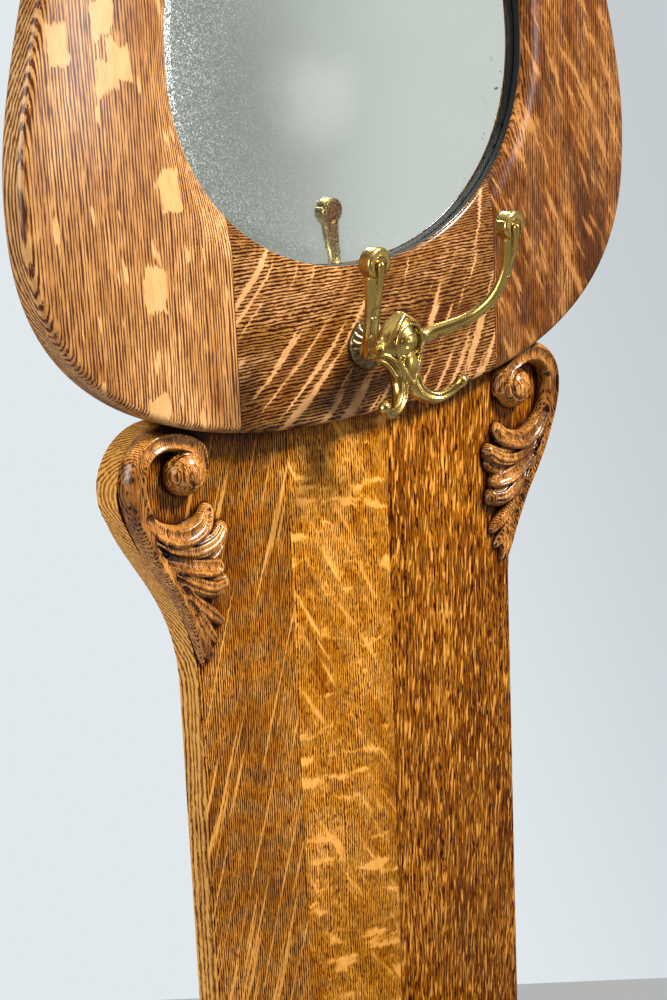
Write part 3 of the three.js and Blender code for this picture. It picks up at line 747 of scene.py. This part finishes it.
def blended(tree, share, a, b):
    """Colour a where share is nought and b where it is one."""
    node = tree.nodes.new("ShaderNodeMix")
    node.data_type = "RGBA"
    plug(tree, node.inputs[0], share)
    plug(tree, node.inputs[6], a)
    plug(tree, node.inputs[7], b)
    return Value(tree, node.outputs[2])


def bumped(tree, shader, height, distance, strength):
    """Fine relief, distance millimetres high."""
    node = tree.nodes.new("ShaderNodeBump")
    node.inputs["Strength"].default_value = strength
    node.inputs["Distance"].default_value = distance * MM
    plug(tree, node.inputs["Height"], height)
    tree.links.new(node.outputs[0], shader.inputs["Normal"])


# ---------------------------------------------------------------- oak

def fleck(tree, u, v, w, lean=0.0, bend=0.0, wide=6.0, long=40.0, cut=0.6, soft=0.04, comb=0.0,
          seed=0.0, twist=0.0, centre=(0, 0), block=False):
    """Ray fleck: pale patches across the pores, at an angle to the grain. Gives a pattern, and
    the value of it where a patch starts and how soft its edge is. lean is degrees from the
    grain, bend curves them about a centre, comb is how ragged their ends are, in millimetres,
    twist makes them less straight, and block makes them square patches."""
    a = math.radians(lean)
    if comb:
        teeth = noise(tree, vector(tree, u * 0.6, v * 0.015, seed), detail=1.0)
        v = v + (teeth - 0.5) * (comb * 2.0)
    u, v = u - centre[0], v - centre[1]
    across = u * math.cos(a) - v * math.sin(a)
    along = u * math.sin(a) + v * math.cos(a)
    if bend:
        across = across + along * along * bend
    if block:
        sway = noise(tree, vector(tree, u / 16, v / 16, seed), detail=1.0)
        slip = noise(tree, vector(tree, u / 20, v / 16, seed + 5), detail=1.0)
        across = across + (sway - 0.5) * wide * 0.22
        along = along + (slip - 0.5) * wide * 0.4
    where = vector(tree, across / wide, along / long, w / 40.0 + seed)
    if block:
        return cells(tree, where, "CHEBYCHEV").flip(), cut, soft
    return noise(tree, where, detail=1.8, rough=0.45, twist=twist), cut, soft


def toned(tree, value, codes):
    """A colour from nought, the first code, to one, the last."""
    node = tree.nodes.new("ShaderNodeValToRGB")
    stops = node.color_ramp.elements
    stops[0].color, stops[1].color = colour(codes[0]), colour(codes[-1])
    for i, code in enumerate(codes[1:-1], 1):
        stops.new(i / (len(codes) - 1)).color = colour(code)
    plug(tree, node.inputs[0], value)
    return Value(tree, node.outputs["Color"])


def oak(name, codes, grain="z", seed=0.0, ring=2.4, rings=0.8, dash=9.0, wander=2.0, ripple=1.4,
        uneven=2.0, slant=0.7, pores=0.55, tone=0.55, figure=0.6, flecks=(), pale=0.92, side=0.05,
        rough=0.42, coat=0.2, painted_corner_shade=0.0, shine=0.0):
    """Quarter-sawn oak. codes are its colours from the pores to the ray fleck, grain is the axis
    it runs along.
    Lines of the grain: ring is millimetres between growth rings and rings how clearly they show,
    dash is the length of a pore, wander, ripple and uneven are how much the lines stray over a
    long way, over a short way and in their spacing, slant is how they lean through the board.
    Tone, from nought to one along the codes: tone is the ground, pores how far a pore goes below it,
    figure how it varies with the fleck, pale is a fleck, side is added on the edges and ends, and the
    corner-shade distance paints shade into corners and crevices within so many millimetres."""
    material, tree, shader, (x, y, z) = finish(name)
    # u runs across the growth rings, v along the grain and w into the board.
    u, v, w = {"z": (x, z, y), "x": (z, x, y), "y": (x, y, z)}[grain]
    drift = noise(tree, vector(tree, u / 60.0, v / 260.0, w / 90.0 + seed * 7.3), detail=1.0)
    small = noise(tree, vector(tree, u / 9.0, v / 20.0, w / 14.0 + seed * 3.1), detail=2.0)
    pace = noise(tree, vector(tree, u / 7.0, v / 500.0, w / 9.0 + seed * 1.7), detail=1.0)
    bent = u + w * slant + (drift - 0.5) * (wander * 8) + (small - 0.5) * ripple
    bent = bent + (pace - 0.5) * (ring * uneven)

    # Pores: waves of growth rings, dashes along them, and finer dashes between.
    wave = (bent * (2 * math.pi / ring)).do("SINE")
    dashes = noise(tree, vector(tree, bent * 0.8, v / dash, w * 0.8 + seed), detail=2.0, rough=0.6)
    fine = noise(tree, vector(tree, bent * 1.9, v / (dash * 0.6), w * 1.4 + seed), detail=1.0)
    broad = noise(tree, vector(tree, u / 34.0, v / 120.0, w / 34.0 + seed), detail=3.0)
    veil = noise(tree, vector(tree, u / 5.0, v / 14.0, w / 5.0 + seed), detail=2.0)
    dense = wave * (rings * 0.45) + (dashes - 0.5) * 2.4 + (fine - 0.5) * 2.0 + (broad - 0.5) * 0.7
    pore = dense.rise(-0.25, 0.5)

    # Fleck shows on the front and back faces only, which lie along the rays.
    normal = tree.nodes.new("ShaderNodeSeparateXYZ")
    geometry = tree.nodes.new("ShaderNodeNewGeometry")
    tree.links.new(geometry.outputs["True Normal"], normal.inputs[0])
    front = Value(tree, normal.outputs["Y"]).do("ABSOLUTE").rise(0.35, 0.8)
    flake, sweep = pore * 0.0, broad
    for kind in flecks:
        patch, cut, soft = fleck(tree, u, v, w, **kind)
        flake = flake.do("MAXIMUM", patch.rise(cut, cut + soft))
        if not kind.get("block"):
            sweep = (sweep + patch) * 0.5
    flake = flake * front

    shade = (broad - 0.5) * 0.8 + (sweep - 0.5) * figure + (veil - 0.5) * 0.5 + tone
    shade = shade + front.flip() * side - pore * pores
    shade = shade + flake * ((veil - 0.5) * 0.3 + pale - shade)
    # Painted shade: the tone is made darker in corners and crevices within so many millimetres, where
    # shadow falls, found by ambient occlusion.
    if painted_corner_shade:
        corner = tree.nodes.new("ShaderNodeAmbientOcclusion")
        corner.samples = 8
        corner.inputs["Distance"].default_value = painted_corner_shade * MM
        shade = shade - Value(tree, corner.outputs["AO"]).rise(0.35, 0.95, 0.8, 0.0)
    plug(tree, shader.inputs["Base Color"], toned(tree, shade, codes))
    plug(tree, shader.inputs["Roughness"], pore * 0.2 + rough)
    shader.inputs["Specular IOR Level"].default_value = shine
    shader.inputs["Coat Weight"].default_value = coat
    shader.inputs["Coat Roughness"].default_value = 0.2
    bumped(tree, shader, pore * -1.0 + small * 0.5, 0.25, 0.5)
    return material


def metal(name, tint, stain, rough, wear=0.5, scale=0.06):
    """Cast metal with a little tarnish in patches and fine scratches."""
    material, tree, shader, (x, y, z) = finish(name)
    patch = noise(tree, vector(tree, x * scale, y * scale, z * scale), detail=4.0)
    fine = noise(tree, vector(tree, x * 1.3, y * 1.3, z * 0.6), detail=3.0)
    dirty = (patch * 0.7 + fine * 0.3).rise(0.45, 0.72) * wear
    plug(tree, shader.inputs["Base Color"], blended(tree, dirty, colour(tint), colour(stain)))
    plug(tree, shader.inputs["Roughness"], dirty * 0.25 + rough + (fine - 0.5) * 0.12)
    shader.inputs["Metallic"].default_value = 1.0
    bumped(tree, shader, fine + patch * 2.0, 0.12, 0.35)
    return material


def oval(x, up, centre, radii):
    """How far out of an oval a place is: nought in its middle and one on its rim."""
    dx, dy = x - centre[0], up - centre[1]
    return (dx * dx * (1 / radii[0] ** 2) + dy * dy * (1 / radii[1] ** 2)).do("SQRT")


def aged_mirror():
    """Silvered glass: dusty and greener towards its lower left, with one pale hazy patch that is a
    painted reflection of a bright light, and with spots where the silver has gone at its lower right rim."""
    material, tree, shader, (x, y, z) = finish("aged_mirror")
    up = z - (DATUM + (OPENING_LEVEL - OPENING_DROP))
    rim = oval(x, up, (0, 150), (160.0, 190.0))
    left = x * -0.005 + up * -0.0016 + 0.62

    haze = noise(tree, vector(tree, x / 70, y, z / 50), detail=5.0, rough=0.6)
    zone = (rim.rise(0.35, 1.05) * left.rise(0.0, 0.8) + (haze - 0.35) * 0.5) * 0.9
    # Painted reflection: a pale, rough, less metallic patch a little left of the middle stands in for a
    # blurred reflection of a bright light.
    painted_reflection_patch = (oval(x, up, (-40, 122), (46.0, 40.0)) + (haze - 0.5) * 1.4).rise(0.2, 1.3, 0.14, 0.0)
    dot = cells(tree, vector(tree, x * 0.42, y * 0.42, z * 0.42)).rise(0.10, 0.2, 1.0, 0.0)
    grain = noise(tree, vector(tree, x * 0.9, y, z * 0.9), detail=3.0, rough=0.8)
    # Real dust and the painted reflection go into one mask that whitens, roughens and dulls the silver.
    dust_and_painted_reflection = (grain.rise(0.42, 0.75) * 0.5 + dot * 0.4) * zone + (grain * 0.7 + 0.6) * painted_reflection_patch

    bloom = noise(tree, vector(tree, x / 7, y, z / 7), detail=3.0, rough=0.6)
    edge = rim.rise(0.86, 0.98) * (x - 10).rise(0, 60) * (up * -1.0 + 160).rise(0, 60)
    spot = edge * bloom.rise(0.60, 0.64)

    base = blended(tree, left.rise(0.45, 1.1), colour("e6eeea"), colour("c3cdc4"))
    base = blended(tree, dust_and_painted_reflection.kept(), base, colour("dfe6e4"))
    base = blended(tree, spot, base, colour("2a2622"))
    plug(tree, shader.inputs["Base Color"], base)
    plug(tree, shader.inputs["Roughness"], (dust_and_painted_reflection * 0.5 + 0.02 + spot * 0.4).kept())
    plug(tree, shader.inputs["Metallic"], (dust_and_painted_reflection * -0.5 + 1.0).kept())
    return material


def black_strip():
    """Dull black, a little worn."""
    material, tree, shader, (x, y, z) = finish("black_strip")
    fine = noise(tree, vector(tree, x * 0.5, y * 0.5, z * 0.5), detail=4.0)
    black = colour("080707")
    worn = (*(c * 1.25 + 0.01 for c in black[:3]), 1.0)
    plug(tree, shader.inputs["Base Color"], blended(tree, fine, black, worn))
    plug(tree, shader.inputs["Roughness"], fine * 0.15 + 0.9)
    bumped(tree, shader, fine, 0.1, 0.3)
    return material


# ---------------------------------------------------------------- dressing

def dress(piece, material):
    piece.data.materials.clear()
    piece.data.materials.append(material)


def ease_edges(node, width):
    """Rounds the arrises of a CAD board, width millimetres, and shades it smoothly."""
    board = NODES[node]
    board.data.polygons.foreach_set("use_smooth", [True] * len(board.data.polygons))
    flat = board.modifiers.new("flat", "DECIMATE")
    flat.decimate_type = "DISSOLVE"
    flat.angle_limit = math.radians(0.5)
    bevel = board.modifiers.new("arris", "BEVEL")
    bevel.width = width * MM
    bevel.segments = 3
    bevel.limit_method = "ANGLE"
    bevel.angle_limit = math.radians(35)
    bevel.harden_normals = True


frame_pieces = make_frame()
liner = make_liner()
glass = make_glass()
hooks = make_hooks()
rosettes = make_rosettes()
scrolls = make_scrolls()
crest = make_crest()

# The frame and the back are glued up from boards that each have a figure of their own.
LEFT_STILE = oak(
    "oak_left_stile", ("421b03", "7b4818", "ae7e46", "cea470"), seed=1, wander=0.8, tone=0.66, figure=0.3,
    pores=0.7, rings=1.2, uneven=1.2, dash=26, ripple=0.9, pale=0.8, coat=0.5, shine=0.12,
    flecks=[dict(wide=40, long=58, cut=0.78, soft=0.03, comb=5, seed=6.3, block=True),
            dict(lean=-8, wide=8, long=36, cut=0.645, soft=0.06, comb=4, seed=8.4)])
RIGHT_STILE = oak(
    "oak_right_stile", ("301301", "522b09", "7c4c1e", "a47642"), seed=2, ring=2.3, wander=1.0, tone=0.6,
    figure=1.8, dash=16, rings=1.2, pores=0.66, pale=0.82, coat=0.35, shine=0.03,
    flecks=[dict(lean=-28, wide=5.5, long=34, cut=0.55, comb=2, seed=1.7, soft=0.12, twist=0.4)])
BOTTOM_RAIL = oak(
    "oak_bottom_rail", ("260c00", "502708", "7c5425", "b98b5e"), grain="x", seed=3, wander=2.2, dash=7,
    ripple=2.6, rings=1.3, uneven=1.2, tone=0.64, figure=1.0, pores=0.75, coat=0.4,
    flecks=[dict(lean=50, bend=-0.0016, wide=7.5, long=110, cut=0.585, comb=3, seed=2.2, soft=0.07,
                 centre=(DATUM - 140, 0), twist=0.3)])
# The back boards get painted shade in their corners, round the scrolls and under the frame.
BOARD_LEFT = oak(
    "oak_board_left", ("240a00", "603000", "9a6420", "c8924a"), seed=4, ring=2.0, wander=1.2, rings=1.2,
    uneven=1.2, tone=0.64, pores=0.7, pale=0.86, slant=0.4, side=0.42, coat=0.25, painted_corner_shade=18,
    flecks=[dict(lean=19, wide=2.4, long=100, comb=2, seed=6.3, soft=0.09)])
BOARD_CENTRE = oak(
    "oak_board_centre", ("421900", "804600", "b27822", "dca258"), seed=5, ring=2.0, wander=1.8, dash=7,
    rings=1.0, tone=0.66, figure=1.2, pores=0.75, pale=0.84, coat=0.25, painted_corner_shade=18,
    flecks=[dict(lean=-78, wide=9, long=34, cut=0.585, comb=3, seed=4.4, soft=0.12, twist=0.3),
            dict(lean=-30, wide=7, long=60, comb=3, seed=1.4, soft=0.14)])
BOARD_RIGHT = oak(
    "oak_board_right", ("2a0c00", "603000", "985c0e", "d89c48"), seed=6, ring=3.4, wander=2.4, dash=14,
    rings=0.5, ripple=4.0, tone=0.54, pores=0.66, pale=0.84, coat=0.25, painted_corner_shade=18,
    flecks=[dict(lean=4, wide=1.8, long=18, cut=0.55, soft=0.09, seed=5.5, twist=0.5)])
# The carving gets painted shade in its crevices.
CARVED = oak("oak_carved", ("100400", "5c3009", "ac7434", "dca45e"), seed=7, ring=1.4, rings=0.7, dash=18,
             tone=0.6, pores=0.5, rough=0.34, coat=0.6, painted_corner_shade=10)
INNER = oak("oak_plain_inside", ("6a4522", "9a6c3c", "b98a55", "c79a64"), grain="x", seed=10, ring=4.5,
            tone=0.6, pores=0.4, rough=0.62, coat=0.0)


def bench_oak(name, grain, seed, lean, long, spots):
    """The bench's plainer oak, with its grain along a given axis."""
    kind = dict(lean=lean, wide=8, long=long, cut=0.61, comb=3, seed=spots, soft=0.07)
    return oak(name, ("442004", "84480f", "bc7a30", "e0a45a"), grain=grain, seed=seed, flecks=[kind])


BENCH = bench_oak("oak_bench", "x", 8, lean=-24, long=70, spots=9.1)
BENCH_UPRIGHT = bench_oak("oak_bench_upright", "z", 9, lean=18, long=70, spots=3.8)
ARMS = bench_oak("oak_arms", "y", 11, lean=14, long=60, spots=7.7)
POLISHED = metal("polished_brass", "b89a56", "583e18", 0.22, wear=0.6)
DULL = metal("dull_brass", "b08a3c", "6a5224", 0.32)
ANTIQUE = metal("antique_brass", "76664a", "16110c", 0.3, wear=0.9, scale=0.25)
STEEL = metal("screw_steel", "9a9a98", "4c4844", 0.35)

WOODS = {
    "frame_stile_left": LEFT_STILE, "frame_stile_right": RIGHT_STILE, "frame_bottom_rail": BOTTOM_RAIL,
    "frame_top_rail": BOTTOM_RAIL,
}
for node, piece in frame_pieces.items():
    dress(piece, WOODS[node])
dress(liner, black_strip())
dress(glass, aged_mirror())
for pieces, material in ((hooks, POLISHED), (rosettes, ANTIQUE), ((*scrolls, crest), CARVED)):
    for piece in pieces:
        dress(piece, material)

SHOWN_ARRIS, HIDDEN_ARRIS = 1.4, 0.8
BOARDS = {
    "back_board_left": BOARD_LEFT, "back_board_centre": BOARD_CENTRE, "back_board_right": BOARD_RIGHT,
    "back_wing_left": BOARD_LEFT, "back_wing_right": BOARD_RIGHT,
    "bench_end_left": BENCH_UPRIGHT, "bench_end_right": BENCH_UPRIGHT, "bench_front": BENCH,
    "seat_side_left": ARMS, "seat_side_right": ARMS, "seat_back_rail": BENCH,
    "lid_front_board": BENCH, "lid_rear_board": BENCH, "arm_left": ARMS, "arm_right": ARMS,
    "arm_post_left": BENCH_UPRIGHT, "arm_post_right": BENCH_UPRIGHT,
    "bench_bottom": INNER, "back_cleat_lower": INNER, "back_cleat_upper": INNER,
    "bottom_cleat_left": INNER, "bottom_cleat_right": INNER, "hinge_rail_cleat": INNER,
    "lid_batten_left": INNER, "lid_batten_right": INNER, "mirror_backing": INNER,
}
for node, board in NODES.items():
    if node in BOARDS:
        dress(board, BOARDS[node])
        ease_edges(node, HIDDEN_ARRIS if BOARDS[node] is INNER else SHOWN_ARRIS)
    elif "hinge" in node:
        dress(board, DULL)
    elif "screw" in node:
        dress(board, STEEL)


# ---------------------------------------------------------------- floor, light and camera

# The camera in metres and degrees: it looks to the right and down, and leans a little.
CAMERA_PLACE = (-0.931, -0.7991, 1.6398)
CAMERA_YAW, CAMERA_PITCH, CAMERA_ROLL = 42.99, 15.27, -2.51
CAMERA_LENS = 66.6
# The middle of what is lit, in metres.
LIT = Vector((0, 0.15, 1.45))
FLOOR_HALF, FLOOR_BACK = 7000, 1603


def make_floor():
    """A floor square to the camera, which ends a little way behind the hall tree."""
    material, tree, shader, (x, y, _) = finish("pale_floor")
    soft = noise(tree, vector(tree, x / 400, y / 400, 0.0), detail=3.0)
    plug(tree, shader.inputs["Base Color"], blended(tree, soft, colour("c6c8c9"), colour("d0d2d3")))
    shader.inputs["Roughness"].default_value = 0.7
    turn = Matrix.Rotation(-math.radians(CAMERA_YAW), 3, "Z")
    left, right, near, far = -FLOOR_HALF, FLOOR_HALF, -FLOOR_HALF, FLOOR_BACK
    corners = [turn @ Vector((a, b, 0))
               for a, b in ((left, near), (right, near), (right, far), (left, far))]
    floor = build("floor", corners, [(0, 1, 2, 3)], smooth=False)
    dress(floor, material)


def area_light(name, place, target, size, power, tint, spread=180):
    """A round soft light, or an upright one where size is a width and a height."""
    lamp = bpy.data.lights.new(name, "AREA")
    lamp.energy, lamp.color = power, tint
    lamp.spread = math.radians(spread)
    if isinstance(size, tuple):
        lamp.shape, lamp.size, lamp.size_y = "RECTANGLE", *size
    else:
        lamp.shape, lamp.size = "DISK", size
    light = link(name, lamp)
    light.location = place
    light.rotation_euler = (Vector(target) - Vector(place)).to_track_quat("-Z", "Y").to_euler()


def toward(azimuth, elevation, distance):
    """A place seen from the middle of the object: degrees to the right of its front, and up."""
    a, e = math.radians(azimuth), math.radians(elevation)
    return Vector((math.sin(a) * math.cos(e), -math.cos(a) * math.cos(e), math.sin(e))) * distance + LIT


def make_lamps():
    """The key gives the shadows, the window the streak on the frame, the left one the edges."""
    key_target = LIT + Vector((-0.06, 0, -0.05))
    area_light("key", toward(28, 42, 1.9), key_target, 0.4, 9.3, (1, 0.96, 0.91), spread=50)
    area_light("window", toward(28.5, 4, 3.0), LIT, (0.22, 0.6), 11, (1, 0.95, 0.96))
    area_light("left", toward(-88, 12, 2.4), LIT, 1.5, 56, (0.97, 0.98, 1))


def make_room():
    """A soft pale studio. What the camera sees is a plain wall, a little darker to the right."""
    world = bpy.data.worlds.new("studio")
    bpy.context.scene.world = world
    world.use_nodes = True
    tree = world.node_tree
    background = tree.nodes["Background"]
    split = tree.nodes.new("ShaderNodeSeparateXYZ")
    tree.links.new(tree.nodes.new("ShaderNodeTexCoord").outputs["Generated"], split.inputs[0])
    x, y, z = (Value(tree, socket) for socket in split.outputs)
    seen = Value(tree, tree.nodes.new("ShaderNodeLightPath").outputs["Is Camera Ray"])

    # What lights the object: brightest at eye level to the front right, with a soft ceiling.
    turn, shifted = math.radians(40), math.radians(40) + 0.17
    rightward = (x * math.cos(turn) + y * math.sin(turn)).rise(-0.02, 0.12, 0.66, 1.12)
    bright_side = (x * math.sin(shifted) - y * math.cos(shifted)).rise(0.7, 0.94, 0.38, 1.0)
    eye_level = z.rise(-0.30, -0.16, 0.05, 0.72) * z.rise(0.05, 0.5, 1.0, 0.6)
    ceiling = z.rise(0.6, 0.85, 0.0, 1.1)
    room = eye_level * rightward * bright_side + ceiling

    yaw = math.radians(CAMERA_YAW)
    sideways = x * math.cos(yaw) - y * math.sin(yaw)
    wall = (sideways + z * 0.35).rise(-0.12, 0.16, 1.0, 0.74)
    plug(tree, background.inputs[0], blended(tree, seen, colour("f0f1ee"), colour("e2e9ed")))
    plug(tree, background.inputs[1], room + seen * (wall - room))
    bpy.context.scene.view_settings.view_transform = "Standard"


def make_camera():
    data = bpy.data.cameras.new("camera")
    data.sensor_fit = "VERTICAL"
    data.sensor_height = 36.0
    data.lens = CAMERA_LENS
    data.clip_end = 50
    camera = link("camera", data)
    yaw, pitch, roll = (math.radians(a) for a in (CAMERA_YAW, CAMERA_PITCH, CAMERA_ROLL))
    level = Matrix.Rotation(-yaw, 4, "Z") @ Matrix.Rotation(math.pi / 2 - pitch, 4, "X")
    turn = level @ Matrix.Rotation(roll, 4, "Z")
    camera.matrix_world = Matrix.Translation(CAMERA_PLACE) @ turn
    bpy.context.scene.camera = camera


make_floor()
make_lamps()
make_room()
make_camera()
